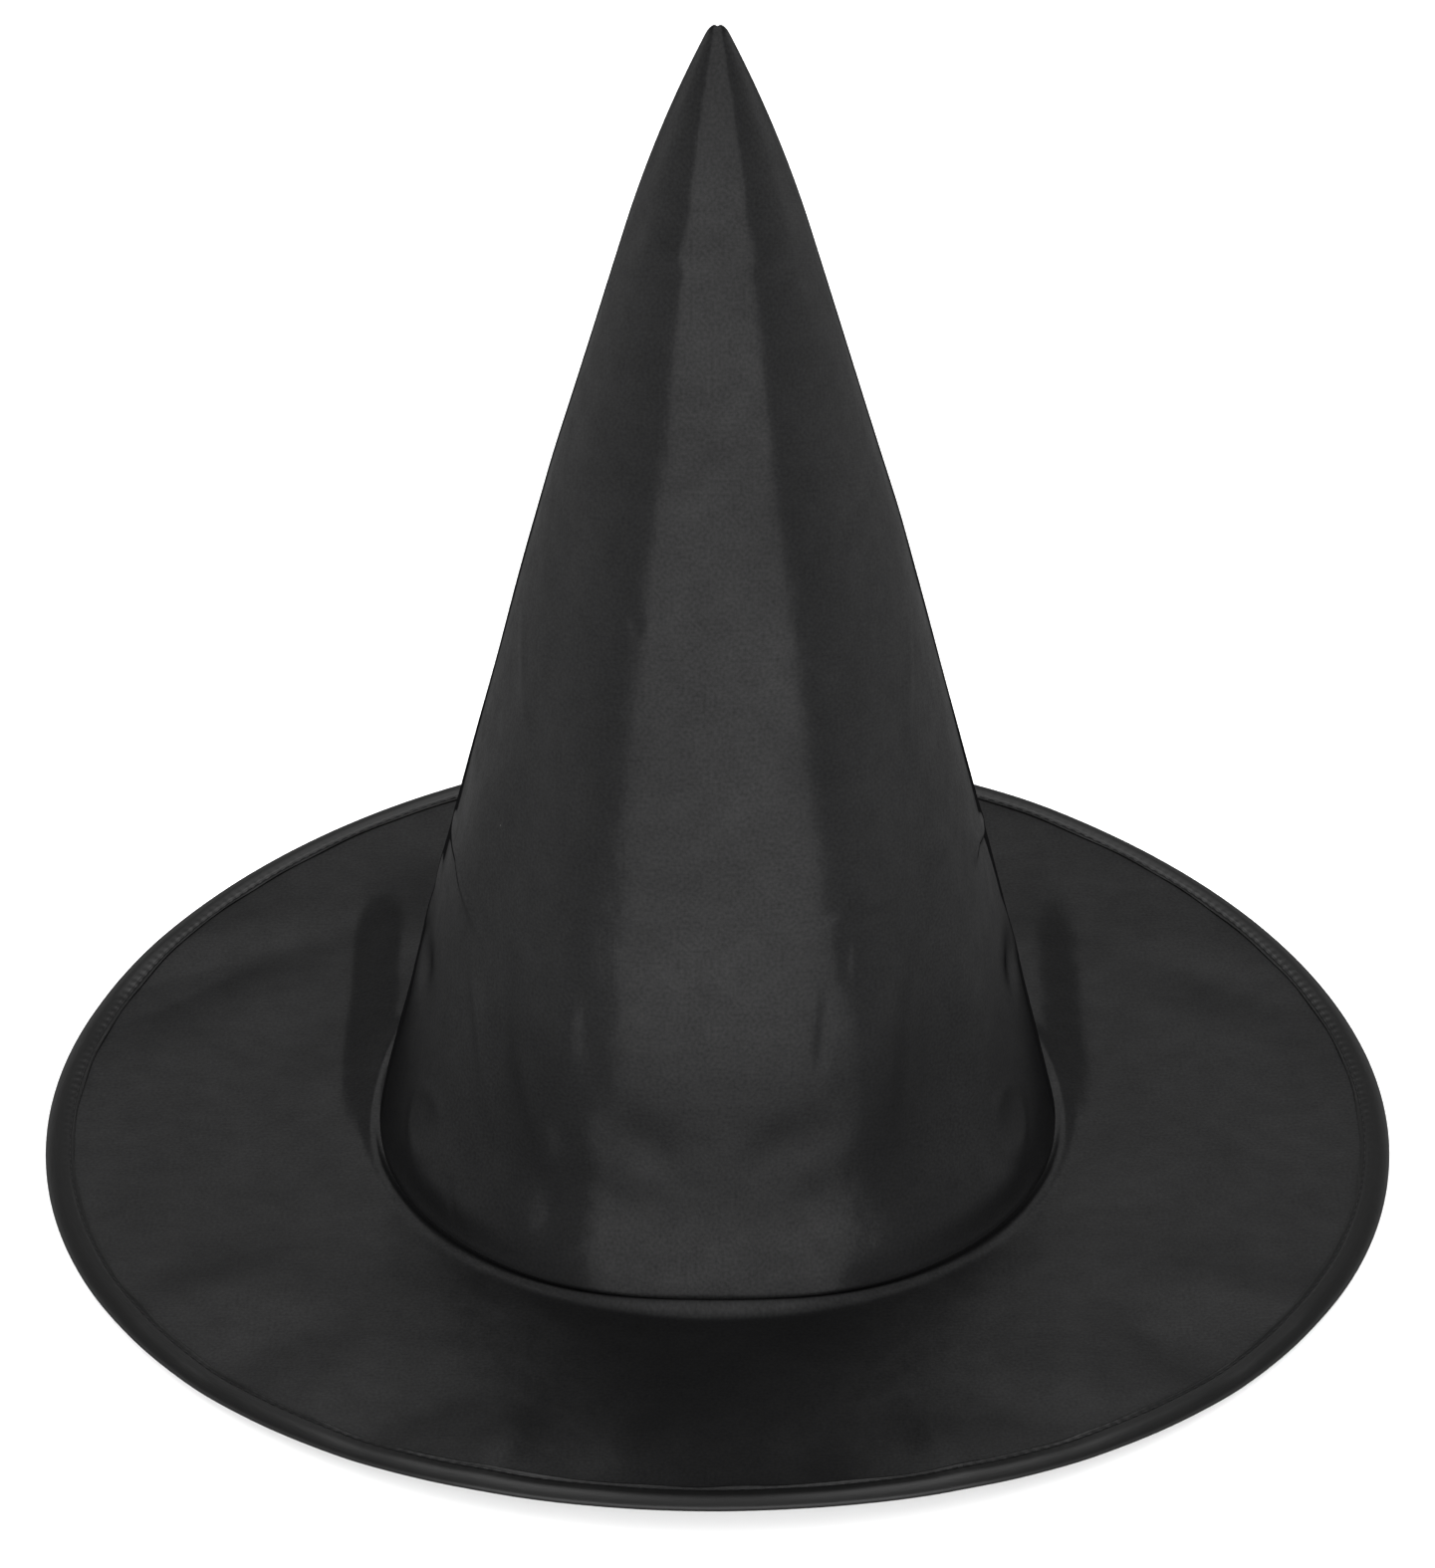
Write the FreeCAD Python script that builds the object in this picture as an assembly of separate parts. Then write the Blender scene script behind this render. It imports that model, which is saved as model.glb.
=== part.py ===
"""Witch hat: a stiffened satin cone on a round, bound brim.

Frame: millimetres, +Z up. The origin lies on the surface that the hat stands on,
below the middle of the brim, and -Y is the front. The brim is gently bent: its
left and right edges (+X and -X) rest on the surface, and its front and back lift.
"""
import FreeCAD, Part
import math
import os

from FreeCAD import Vector

# Driving dimensions: the brim
BRIM_RADIUS = 190.0            # outside of the binding
BRIM_LIFT = 8.6                # how far the front and back edges lift above the sides
BINDING_WIDTH = 8.2            # what shows of the binding, on each side of the brim
BINDING_CLOTH = 0.5
BRIM_CLOTH = 0.4
STIFFENER_THICKNESS = 1.6
REST_FLAT = 0.3                # the binding is pressed flat by this much where it rests
FOLD_ROUNDING = 0.4            # the binding's fold, as a share of the rim's thickness

# Driving dimensions: the hoop inside the binding
HOOP_WIDTH = 1.6
HOOP_THICKNESS = 1.0
HOOP_GAP = 1.0                 # between the strip's two ends
FERRULE_LENGTH = 14.0
FERRULE_WALL = 0.2

# Driving dimensions: the crown
CROWN_BASE_RADIUS = 95.9
CROWN_CLOTH = 0.4
INTERLINING_THICKNESS = 0.8
BASE_LEAN = 13.1               # degrees from upright, at the base
SHOULDER_LEAN = 16.2           # degrees from upright, where the point begins to close
TIP_LEAN = 25.7                # degrees from upright, where the tip rounds over
WALL_BOW_RADIUS = 5230.0       # the wall is very nearly straight
POINT_BOW_RADIUS = 367.0       # the wall's curve above the shoulder

# Driving dimensions: the head opening
OPENING_RADIUS = 91.5
TAPE_THICKNESS = 0.8
TAPE_HEIGHT = 12.0
TAPE_BOTTOM = 0.8              # height of the tape's lower edge

# Driving dimensions: the seam tape and the label
SEAM_TAPE_WIDTH = 14.0
SEAM_TAPE_THICKNESS = 0.5
SEAM_TAPE_TOP = 292.0
LABEL_WIDTH = 30.0
LABEL_HEIGHT = 24.0
LABEL_THICKNESS = 0.5
LABEL_OFFSET = -34.0           # to one side of the back seam

# Driving dimensions: thread
THREAD_RADIUS = 0.15
STITCH_PITCH = 3.2
STITCH_LENGTH = 2.4
BINDING_ROW_INSET = 1.2        # from the binding's inner edge
TAPE_ROW_INSET = 1.5           # from the head tape's upper edge
BASE_ROW_RISE = 1.0            # above the joint of crown and brim

GAP = 0.05                     # between neighbouring layers
REACH = 400.0                  # longer than any part, for cutting bodies
Z_AXIS = Vector(0, 0, 1)

# The brim follows a level cylinder of this radius, whose axis runs along X above the hat
BEND_RADIUS = BRIM_RADIUS ** 2 / (2 * BRIM_LIFT)

# Heights of the brim's layers, measured where the brim rests on the surface
BINDING_BOTTOM = -REST_FLAT
UNDER_CLOTH_BOTTOM = BINDING_BOTTOM + BINDING_CLOTH + GAP
STIFFENER_BOTTOM = UNDER_CLOTH_BOTTOM + BRIM_CLOTH + GAP
TOP_CLOTH_BOTTOM = STIFFENER_BOTTOM + STIFFENER_THICKNESS + GAP
TOP_CLOTH_TOP = TOP_CLOTH_BOTTOM + BRIM_CLOTH
BINDING_TOP = TOP_CLOTH_TOP + GAP + BINDING_CLOTH
CROWN_BASE = TOP_CLOTH_TOP + GAP
CROWN_BASE_MEAN = CROWN_BASE + CROWN_BASE_RADIUS ** 2 / (4 * BEND_RADIUS)

# Radii of the brim's layers
BRIM_INNER_RADIUS = OPENING_RADIUS + TAPE_THICKNESS + GAP
BINDING_INSIDE = BRIM_RADIUS - BINDING_CLOTH
HOOP_OUTER = BINDING_INSIDE - 2 * GAP - FERRULE_WALL
HOOP_INNER = HOOP_OUTER - HOOP_WIDTH
HOOP_BOTTOM = STIFFENER_BOTTOM + (STIFFENER_THICKNESS - HOOP_THICKNESS) / 2
STIFFENER_RADIUS = HOOP_INNER - 2 * GAP - FERRULE_WALL
STITCH_ROW_RADIUS = BRIM_RADIUS - BINDING_WIDTH + BINDING_ROW_INSET


def bend_axis_cylinder(height):
    """Everything above the bent surface that passes this height at the brim's sides."""
    radius = BEND_RADIUS - height
    start = Vector(-REACH, 0, BEND_RADIUS)
    return Part.makeCylinder(radius, 2 * REACH, start, Vector(1, 0, 0))


def bent_height(height, y):
    """Height of that bent surface at distance y from the middle."""
    return BEND_RADIUS - math.sqrt((BEND_RADIUS - height) ** 2 - y ** 2)


def upright_ring(inner, outer, bottom, top):
    """A plain ring about the hat's axis."""
    base = Vector(0, 0, bottom)
    return Part.makeCylinder(outer, top - bottom, base).cut(
        Part.makeCylinder(inner, top - bottom, base))


def bent_ring(inner, outer, bottom, top):
    """A flat ring that follows the brim's bend, between two layer heights."""
    ring = upright_ring(inner, outer, bottom - BRIM_LIFT, top + 2 * BRIM_LIFT)
    return ring.common(bend_axis_cylinder(bottom)).cut(bend_axis_cylinder(top))


def slab(x_low, x_high, y_low, y_high, z_low, z_high):
    """A box given by its limits."""
    corner = Vector(x_low, y_low, z_low)
    return Part.makeBox(x_high - x_low, y_high - y_low, z_high - z_low, corner)


def arc_point(arc, angle):
    """The point of an outline arc where the wall leans by this angle."""
    centre_r, centre_z, radius = arc
    return centre_r + radius * math.cos(angle), centre_z + radius * math.sin(angle)


def crown_arcs(inset):
    """The crown's outline, moved inwards by inset: three arcs that run into each other."""
    leans = [math.radians(lean) for lean in (BASE_LEAN, SHOULDER_LEAN, TIP_LEAN, 90.0)]
    r, z = CROWN_BASE_RADIUS, CROWN_BASE_MEAN
    arcs = []
    for number, radius in enumerate((WALL_BOW_RADIUS, POINT_BOW_RADIUS, None)):
        lean = leans[number]
        if radius is None:
            radius = r / math.cos(lean)
        centre_r = r - radius * math.cos(lean)
        centre_z = z - radius * math.sin(lean)
        arcs.append(((centre_r, centre_z, radius - inset), lean, leans[number + 1]))
        r, z = arc_point((centre_r, centre_z, radius), leans[number + 1])
    return arcs


def outline_edges(inset):
    """Edges of that outline in the X-Z plane, from below the base up to the tip."""
    edges = []
    for number, (arc, start, end) in enumerate(crown_arcs(inset)):
        if number == 0:
            r, z = arc_point(arc, start)
            run = 4 * BRIM_LIFT
            low = Vector(r + run * math.sin(start), 0, z - run * math.cos(start))
            edges.append(Part.LineSegment(low, Vector(r, 0, z)).toShape())
        points = [arc_point(arc, angle) for angle in (start, (start + end) / 2, end)]
        vectors = [Vector(r, 0, z) for r, z in points]
        edges.append(Part.Arc(*vectors).toShape())
    return edges


def end_points(edges):
    """The lowest and the highest point of an outline."""
    low = edges[0].Vertexes[0].Point
    high = max((vertex.Point for vertex in edges[-1].Vertexes), key=lambda point: point.z)
    return low, high


def crown_layer(outer_inset, inner_inset):
    """A closed cone layer that stands on the brim, between two depths of the wall."""
    outer = outline_edges(outer_inset)
    inner = outline_edges(inner_inset)
    outer_low, outer_high = end_points(outer)
    inner_low, inner_high = end_points(inner)
    closing = [
        Part.LineSegment(outer_low, inner_low).toShape(),
        Part.LineSegment(inner_high, outer_high).toShape(),
    ]
    wire = Part.Wire(Part.__sortEdges__(outer + inner + closing))
    layer = Part.Face(wire).revolve(Vector(0, 0, 0), Z_AXIS, 360)
    return solid(layer.common(bend_axis_cylinder(CROWN_BASE)))


def wall_radius(height, inset):
    """Radius of the crown's wall at this height, at a depth of inset below its face."""
    for (centre_r, centre_z, radius), start, end in crown_arcs(inset):
        top = centre_z + radius * math.sin(end)
        if height <= top:
            return centre_r + math.sqrt(radius ** 2 - (height - centre_z) ** 2)
    return 0.0


def solid(shape):
    """The one solid of a shape, with its faces made good."""
    if len(shape.Solids) != 1:
        raise ValueError("expected one solid, found %d" % len(shape.Solids))
    return shape.Solids[0]


def edge_binding():
    """Tape folded over the rim; its fold is rounded and it is pressed flat where it rests."""
    inner = BRIM_RADIUS - BINDING_WIDTH
    outside = bent_ring(inner, BRIM_RADIUS, BINDING_BOTTOM, BINDING_TOP)
    rim = [edge for edge in outside.Edges if on_radius(edge, BRIM_RADIUS)]
    rounding = FOLD_ROUNDING * (BINDING_TOP - BINDING_BOTTOM)
    outside = outside.makeFillet(rounding, rim)
    channel_bottom = BINDING_BOTTOM + BINDING_CLOTH
    channel_top = BINDING_TOP - BINDING_CLOTH
    channel = bent_ring(inner - BINDING_CLOTH, BINDING_INSIDE, channel_bottom, channel_top)
    below = slab(-REACH, REACH, -REACH, REACH, -BRIM_LIFT, 0.0)
    return solid(outside.cut(channel).cut(below))


def on_radius(edge, radius):
    """Whether an edge runs round the hat's axis at this radius."""
    middle = edge.valueAt((edge.FirstParameter + edge.LastParameter) / 2)
    around = abs(math.hypot(middle.x, middle.y) - radius) < 0.01
    ends = [abs(math.hypot(v.X, v.Y) - radius) < 0.01 for v in edge.Vertexes]
    upright = abs(edge.Vertexes[0].Z - edge.Vertexes[-1].Z) > 1.0 and edge.Length < 10.0
    return around and all(ends) and not upright


def brim_layer(bottom, thickness, outer):
    """One flat sheet of the brim."""
    return solid(bent_ring(BRIM_INNER_RADIUS, outer, bottom, bottom + thickness))


def brim_hoop():
    """Spring strip round the rim, with a small gap between its ends at the back."""
    strip = bent_ring(HOOP_INNER, HOOP_OUTER, HOOP_BOTTOM, HOOP_BOTTOM + HOOP_THICKNESS)
    gap = slab(-HOOP_GAP / 2, HOOP_GAP / 2, 0, REACH, -BRIM_LIFT, 4 * BRIM_LIFT)
    return solid(strip.cut(gap))


def hoop_ferrule():
    """Flat sleeve crimped over the hoop's two ends."""
    grow = GAP + FERRULE_WALL
    top = HOOP_BOTTOM + HOOP_THICKNESS
    outside = bent_ring(HOOP_INNER - grow, HOOP_OUTER + grow, HOOP_BOTTOM - grow, top + grow)
    passage = bent_ring(HOOP_INNER - GAP, HOOP_OUTER + GAP, HOOP_BOTTOM - GAP, top + GAP)
    half = FERRULE_LENGTH / 2
    span = slab(-half, half, 0, REACH, -BRIM_LIFT, 4 * BRIM_LIFT)
    return solid(outside.cut(passage).common(span))


def head_tape():
    """Upright band round the head opening, over the raw edges of the base seam."""
    outer = OPENING_RADIUS + TAPE_THICKNESS
    return solid(upright_ring(OPENING_RADIUS, outer, TAPE_BOTTOM, TAPE_BOTTOM + TAPE_HEIGHT))


def wall_strip(depth, thickness, x_low, x_high, z_low, z_high):
    """A strip that lies on the inside of the crown's wall at the back."""
    layer = crown_layer(depth, depth + thickness)
    return solid(layer.common(slab(x_low, x_high, 0, REACH, z_low, z_high)))


def thread(centre, direction):
    """One stitch: a short straight run of thread."""
    direction = direction.normalize()
    start = centre - direction * (STITCH_LENGTH / 2)
    return Part.makeCylinder(THREAD_RADIUS, STITCH_LENGTH, start, direction)


def brim_stitches(height, side):
    """A ring of stitches on the binding; side is +1 above it and -1 below it.

    Where the binding is pressed flat the thread is buried in the cloth, and has no solid.
    """
    count = round(2 * math.pi * STITCH_ROW_RADIUS / STITCH_PITCH)
    stitches = []
    for number in range(count):
        angle = 2 * math.pi * (number + 0.5) / count
        x = STITCH_ROW_RADIUS * math.cos(angle)
        y = STITCH_ROW_RADIUS * math.sin(angle)
        z = bent_height(height, y) + side * (THREAD_RADIUS + GAP)
        slope = y / (BEND_RADIUS - z)
        direction = Vector(-math.sin(angle), math.cos(angle), math.cos(angle) * slope)
        if z > THREAD_RADIUS + GAP:
            stitches.append(thread(Vector(x, y, z), direction))
    return Part.makeCompound(stitches)


def tape_stitches(height):
    """A level ring of stitches on the inner face of the head tape."""
    radius = OPENING_RADIUS - THREAD_RADIUS - GAP
    in_a_quarter = round(math.pi / 2 * radius / STITCH_PITCH)
    count = 4 * in_a_quarter
    stitches = []
    for number in range(count):
        angle = 2 * math.pi * (number + 0.5) / count
        place = Vector(radius * math.cos(angle), radius * math.sin(angle), height)
        stitches.append(thread(place, Vector(-math.sin(angle), math.cos(angle), 0)))
    return Part.makeCompound(stitches)


def crown_seam_stitches(depth):
    """The upright row of stitches on the seam tape, from the head tape to the tape's top."""
    low = TAPE_BOTTOM + TAPE_HEIGHT + LABEL_THICKNESS
    count = int((SEAM_TAPE_TOP - low) / STITCH_PITCH) - 1
    stitches = []
    for number in range(count):
        z = low + STITCH_PITCH * (number + 1)
        below = wall_radius(z - STITCH_LENGTH / 2, depth)
        above = wall_radius(z + STITCH_LENGTH / 2, depth)
        place = Vector(0, (below + above) / 2 - THREAD_RADIUS - 2 * GAP, z)
        stitches.append(thread(place, Vector(0, above - below, STITCH_LENGTH)))
    return Part.makeCompound(stitches)


def build():
    """Every piece of the hat by name."""
    lining_depth = CROWN_CLOTH + GAP
    tape_depth = lining_depth + INTERLINING_THICKNESS + GAP
    thread_depth = tape_depth + SEAM_TAPE_THICKNESS
    above_tape = TAPE_BOTTOM + TAPE_HEIGHT + GAP
    half_tape = SEAM_TAPE_WIDTH / 2
    label_left = LABEL_OFFSET - LABEL_WIDTH / 2
    label_right = LABEL_OFFSET + LABEL_WIDTH / 2
    cloth_radius = BINDING_INSIDE - GAP
    return {
        "crown_shell": crown_layer(0.0, CROWN_CLOTH),
        "crown_interlining": crown_layer(lining_depth, lining_depth + INTERLINING_THICKNESS),
        "crown_seam_tape": wall_strip(tape_depth, SEAM_TAPE_THICKNESS, -half_tape, half_tape,
                                      above_tape, SEAM_TAPE_TOP),
        "crown_seam_stitches": crown_seam_stitches(thread_depth),
        "brim_top_cloth": brim_layer(TOP_CLOTH_BOTTOM, BRIM_CLOTH, cloth_radius),
        "brim_stiffener": brim_layer(STIFFENER_BOTTOM, STIFFENER_THICKNESS, STIFFENER_RADIUS),
        "brim_under_cloth": brim_layer(UNDER_CLOTH_BOTTOM, BRIM_CLOTH, cloth_radius),
        "brim_hoop": brim_hoop(),
        "hoop_ferrule": hoop_ferrule(),
        "edge_binding": edge_binding(),
        "binding_top_stitches": brim_stitches(BINDING_TOP, 1),
        "binding_under_stitches": brim_stitches(BINDING_BOTTOM, -1),
        "head_tape": head_tape(),
        "base_seam_stitches": tape_stitches(CROWN_BASE + BASE_ROW_RISE),
        "tape_edge_stitches": tape_stitches(TAPE_BOTTOM + TAPE_HEIGHT - TAPE_ROW_INSET),
        "care_label": wall_strip(tape_depth, LABEL_THICKNESS, label_left, label_right,
                                 above_tape, above_tape + LABEL_HEIGHT),
    }


os.makedirs("parts", exist_ok=True)
for name, shape in build().items():
    shape.exportStep("parts/%s.step" % name)
    box = shape.BoundBox
    print("%-24s solids %4d valid %s volume %9.1f  z %7.2f to %7.2f" % (
        name, len(shape.Solids), shape.isValid(), shape.Volume, box.ZMin, box.ZMax))
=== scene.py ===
import math

import bpy
import numpy as np
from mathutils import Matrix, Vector


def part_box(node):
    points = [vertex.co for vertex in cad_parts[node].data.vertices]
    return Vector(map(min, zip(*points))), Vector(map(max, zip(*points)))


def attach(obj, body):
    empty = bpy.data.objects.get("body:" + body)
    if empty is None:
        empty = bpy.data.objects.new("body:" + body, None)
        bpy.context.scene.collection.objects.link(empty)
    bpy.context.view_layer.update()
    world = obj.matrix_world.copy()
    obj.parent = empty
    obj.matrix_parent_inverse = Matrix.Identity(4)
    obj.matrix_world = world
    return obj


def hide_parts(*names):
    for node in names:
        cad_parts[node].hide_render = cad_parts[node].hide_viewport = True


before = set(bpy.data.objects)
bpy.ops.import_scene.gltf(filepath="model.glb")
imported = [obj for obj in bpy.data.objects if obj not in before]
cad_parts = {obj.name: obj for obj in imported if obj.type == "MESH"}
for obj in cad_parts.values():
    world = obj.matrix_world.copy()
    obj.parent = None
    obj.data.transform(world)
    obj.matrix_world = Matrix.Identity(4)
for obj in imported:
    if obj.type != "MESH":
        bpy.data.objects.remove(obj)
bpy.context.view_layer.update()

# A witch hat in stiffened black satin: a seamed crown sewn to a round brim with a bound edge.
# Lengths are in metres; angles round the hat are measured from the front (-Y), positive
# towards +X. "Run" is the length up the crown's wall from its base.

MM = 0.001
ROOT = "root"

# Places and sizes from the frame
RIM_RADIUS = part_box("edge_binding")[1].x
CROWN_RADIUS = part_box("crown_shell")[1].x
TAPE_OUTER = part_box("head_tape")[1].x
LABEL_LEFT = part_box("care_label")[0].x
LABEL_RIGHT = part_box("care_label")[1].x
SEAM_TAPE_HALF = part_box("crown_seam_tape")[1].x
SEAM_TAPE_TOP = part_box("crown_seam_tape")[1].z

# The crown's outline: three arcs that run into each other, as leans from upright
BASE_LEAN = math.radians(13.1)
SHOULDER_LEAN = math.radians(16.2)
TIP_LEAN = math.radians(25.7)
WALL_BOW_RADIUS = 5230 * MM
POINT_BOW_RADIUS = 367 * MM
CROWN_BASE_HEIGHT = 3.9 * MM

# Thicknesses
LAYER_GAP = 0.05 * MM
CLOTH = 0.4 * MM
INTERLINING = 0.8 * MM
SEAM_TAPE = 0.5 * MM
LABEL = 0.5 * MM
STIFFENER = 1.6 * MM
BINDING_CLOTH = 0.5 * MM
HEAD_TAPE = 0.8 * MM
HALF_BRIM = STIFFENER / 2 + LAYER_GAP + CLOTH
HALF_BOUND = HALF_BRIM + BINDING_CLOTH
LINING_DEPTH = CLOTH + LAYER_GAP
TAPE_DEPTH = LINING_DEPTH + INTERLINING + LAYER_GAP

# Sewing
BINDING_WIDTH = 8.2 * MM
BINDING_ROW = 7.0 * MM          # stitch row's distance in from the rim
BINDING_GROOVE = 0.34 * MM      # how deep that row pulls the binding in
STITCH_PITCH = 3.2 * MM
STITCH_LENGTH = 2.5 * MM
THREAD_RADIUS = 0.17 * MM
THREAD_RISE = 0.12 * MM         # how far a stitch's middle stands over the cloth or groove
BINDING_LAP = math.radians(171)     # where the tapes' ends lap, near the back
TAPE_LAP = math.radians(176)
TAPE_BOTTOM = -0.7 * MM         # heights on the head tape, from the middle of the brim
TAPE_TOP = 11.3 * MM
BASE_ROW = 2.3 * MM
TAPE_EDGE_ROW = 9.8 * MM
LABEL_HEIGHT = 24 * MM
LABEL_RIBBON = 0.2 * MM
FOLD_REACH = 3.8 * MM           # how far in from the rim the binding's face is rounded
CLOTH_INSET = 1.8 * MM          # how far inside the rim the brim's cloths and felt end
FELT_INSET = 2.7 * MM

# The hoop in the rim
HOOP_INNER = RIM_RADIUS - 2.4 * MM
HOOP_OUTER = RIM_RADIUS - 0.8 * MM
HOOP_HALF = 0.5 * MM
HOOP_GAP = 1.0 * MM
FERRULE_LENGTH = 14 * MM
FERRULE_WALL = 0.2 * MM

# How fine the meshes are
TOP_COLUMNS = 640
UNDER_COLUMNS = 512
FELT_COLUMNS = 256
FELT_RINGS = 24
BINDING_POINTS = 22             # along each flat and round each fold
TAPE_COLUMNS = 540
TAPE_ROWS = 26                  # up each face of the head tape
LABEL_COLUMNS = 25
LABEL_ROWS = 24
HOOP_COLUMNS = 720
SLEEVE_COLUMNS = 25
THREAD_SECTIONS = 9
THREAD_SIDES = 6

CHANCE = np.random.default_rng(31)


# ---------------------------------------------------------------- shape helpers

def smooth(low, high, value):
    """0 below low, 1 above high, and a smooth rise between."""
    t = np.clip((value - low) / (high - low), 0.0, 1.0)
    return t * t * (3 - 2 * t)


def turn(angle):
    """An angle brought into -pi to pi."""
    return (angle + np.pi) % (2 * np.pi) - np.pi


def polar(radius, angle):
    """x and y of a place on the hat."""
    return radius * np.sin(angle), -radius * np.cos(angle)


def ring_angles(count):
    return np.linspace(-np.pi, np.pi, count, endpoint=False)


def grid_faces(rows, columns, round_it, wrap_rows):
    """Four corners for each face of a grid of points."""
    row = np.arange(rows if wrap_rows else rows - 1)
    column = np.arange(columns if round_it else columns - 1)
    row, column = (part.ravel() for part in np.meshgrid(row, column, indexing="ij"))
    above, beside = (row + 1) % rows, (column + 1) % columns
    return np.stack([row * columns + column, row * columns + beside,
                     above * columns + beside, above * columns + column], -1)


def new_piece(name, vertices, faces, flip=False):
    if flip:
        faces = [face[::-1] for face in faces]
    mesh = bpy.data.meshes.new(name)
    mesh.from_pydata(vertices, [], faces)
    mesh.polygons.foreach_set("use_smooth", [True] * len(mesh.polygons))
    piece = bpy.data.objects.new(name, mesh)
    bpy.context.scene.collection.objects.link(piece)
    return piece


def grid_piece(name, points, round_it=True, wrap_rows=False, tip=False, flip=False):
    """A piece from points[row, column]. It can close round, close up and end in a tip."""
    rows, columns = points.shape[:2]
    vertices = points.reshape(-1, 3).tolist()
    faces = grid_faces(rows - 1 if tip else rows, columns, round_it, wrap_rows).tolist()
    if tip:
        last = (rows - 1) * columns
        vertices = vertices[:last + 1]
        base = (rows - 2) * columns
        faces += [[base + column, base + (column + 1) % columns, last] for column in range(columns)]
    if wrap_rows and not round_it:
        ends = np.arange(rows) * columns
        faces += [ends.tolist(), (ends + columns - 1).tolist()[::-1]]
    return new_piece(name, vertices, faces, flip)


def add_uv(piece, uv):
    """Cloth coordinates in metres, one pair for each vertex."""
    layer = piece.data.uv_layers.new(name="cloth")
    index = np.zeros(len(piece.data.loops), int)
    piece.data.loops.foreach_get("vertex_index", index)
    layer.data.foreach_set("uv", uv[index].astype(np.float32).ravel())


def thicken(piece, thickness):
    """Gives a surface its cloth's thickness, behind its face."""
    solid = piece.modifiers.new("thickness", "SOLIDIFY")
    solid.thickness = thickness
    solid.offset = -1.0
    solid.use_even_offset = True


def finish_piece(piece, node, material):
    """Puts a piece on the body, in place of its CAD node, with its finish."""
    piece.data.materials.append(material)
    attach(piece, ROOT)
    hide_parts(node)
    return piece


def bump_on(u, v, wide, tall, slant):
    """A soft round bump, 1 at its middle, turned by slant degrees."""
    cos, sin = math.cos(math.radians(slant)), math.sin(math.radians(slant))
    return np.exp(-((u * cos - v * sin) / wide) ** 2 - ((u * sin + v * cos) / tall) ** 2)


def distance_to_line(u, v, start, end):
    """Distance to a straight line between two places, and the share of the way along it."""
    along = (end[0] - start[0], end[1] - start[1])
    length = math.hypot(*along)
    share = ((u - start[0]) * along[0] + (v - start[1]) * along[1]) / length ** 2
    held = np.clip(share, 0, 1)
    return np.hypot(u - start[0] - held * along[0], v - start[1] - held * along[1]), held


# ---------------------------------------------------------------- the brim's shape

BRIM_LEVEL_SIDE = 1.5 * MM
BRIM_RISE = 3.7 * MM
BRIM_SADDLE = 4.31 * MM
BRIM_CORNERS = 0.74 * MM

# The roll of brim cloth along the crown's seam
LIP_HEIGHT = 3.7 * MM
LIP_WIDTH = 2.0 * MM
LIP_FROM_CROWN = 2.2 * MM

# The fold beside the crown: side of the hat and how far the brim steps down outside it
SIDE_FOLDS = [(-1, 5.0 * MM), (1, 3.2 * MM)]

# Shallow folds in the brim: angle, radius, half-width across, half-length, height, turn
BRIM_FOLDS = [
    (-116, 165, 9, 40, -0.9, 62),
    (-108, 150, 14, 40, 0.7, 60),
    (-122, 176, 9, 24, 0.4, 60),
    (114, 163, 9, 36, -0.5, -62),
    (108, 150, 14, 36, 0.4, -60),
    (-58, 162, 11, 22, 0.8, 0),
    (-47, 166, 10, 20, -0.9, 10),
    (-38, 158, 9, 18, 0.8, 20),
    (-29, 168, 9, 16, -0.9, -10),
    (-19, 170, 8, 14, 0.9, 0),
    (58, 162, 11, 22, 0.8, 0),
    (47, 166, 10, 20, -0.9, -10),
    (37, 158, 9, 18, 0.8, -20),
    (29, 166, 9, 16, -0.9, 10),
    (20, 172, 8, 14, 0.8, 0),
    (8, 170, 8, 12, -0.6, 20),
    (-8, 168, 8, 12, 0.6, -20),
    (150, 150, 14, 30, 0.6, 0),
    (-160, 150, 14, 30, 0.6, 10),
    (178, 160, 12, 26, -0.6, 0),
]
BRIM_SWELL_COUNT = 70


def brim_unevenness():
    """Many faint hollows and swells, as in any stiffened cloth: x, y, size and height."""
    radius = CHANCE.uniform(100, 182, BRIM_SWELL_COUNT) * MM
    x, y = polar(radius, CHANCE.uniform(-np.pi, np.pi, BRIM_SWELL_COUNT))
    size = CHANCE.uniform(8, 22, BRIM_SWELL_COUNT) * MM
    return np.stack([x, y, size, CHANCE.normal(0, 0.018, BRIM_SWELL_COUNT) * size], -1)


BRIM_SWELLS = brim_unevenness()


def brim_level(x, y):
    """Height of the middle of the brim's thickness."""
    radius = np.hypot(x, y)
    share = radius / RIM_RADIUS
    angle = np.arctan2(x, -y)
    level = BRIM_LEVEL_SIDE + BRIM_RISE * share ** 1.33
    level = level + BRIM_SADDLE * share ** 2 * np.cos(2 * angle)
    level = level + BRIM_CORNERS * share ** 4 * np.cos(4 * angle)
    folds = np.zeros_like(level)
    for degrees, middle, across, along, height, slant in BRIM_FOLDS:
        around = turn(angle - math.radians(degrees)) * radius
        outwards = radius - middle * MM
        folds = folds + height * MM * bump_on(around, outwards, across * MM, along * MM, slant)
    for swell_x, swell_y, size, height in BRIM_SWELLS:
        folds = folds + height * np.exp(-((x - swell_x) ** 2 + (y - swell_y) ** 2) / size ** 2)
    fade = smooth(CROWN_RADIUS + 2 * MM, CROWN_RADIUS + 22 * MM, radius)
    return np.maximum(level + folds * fade, HALF_BOUND)


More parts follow.
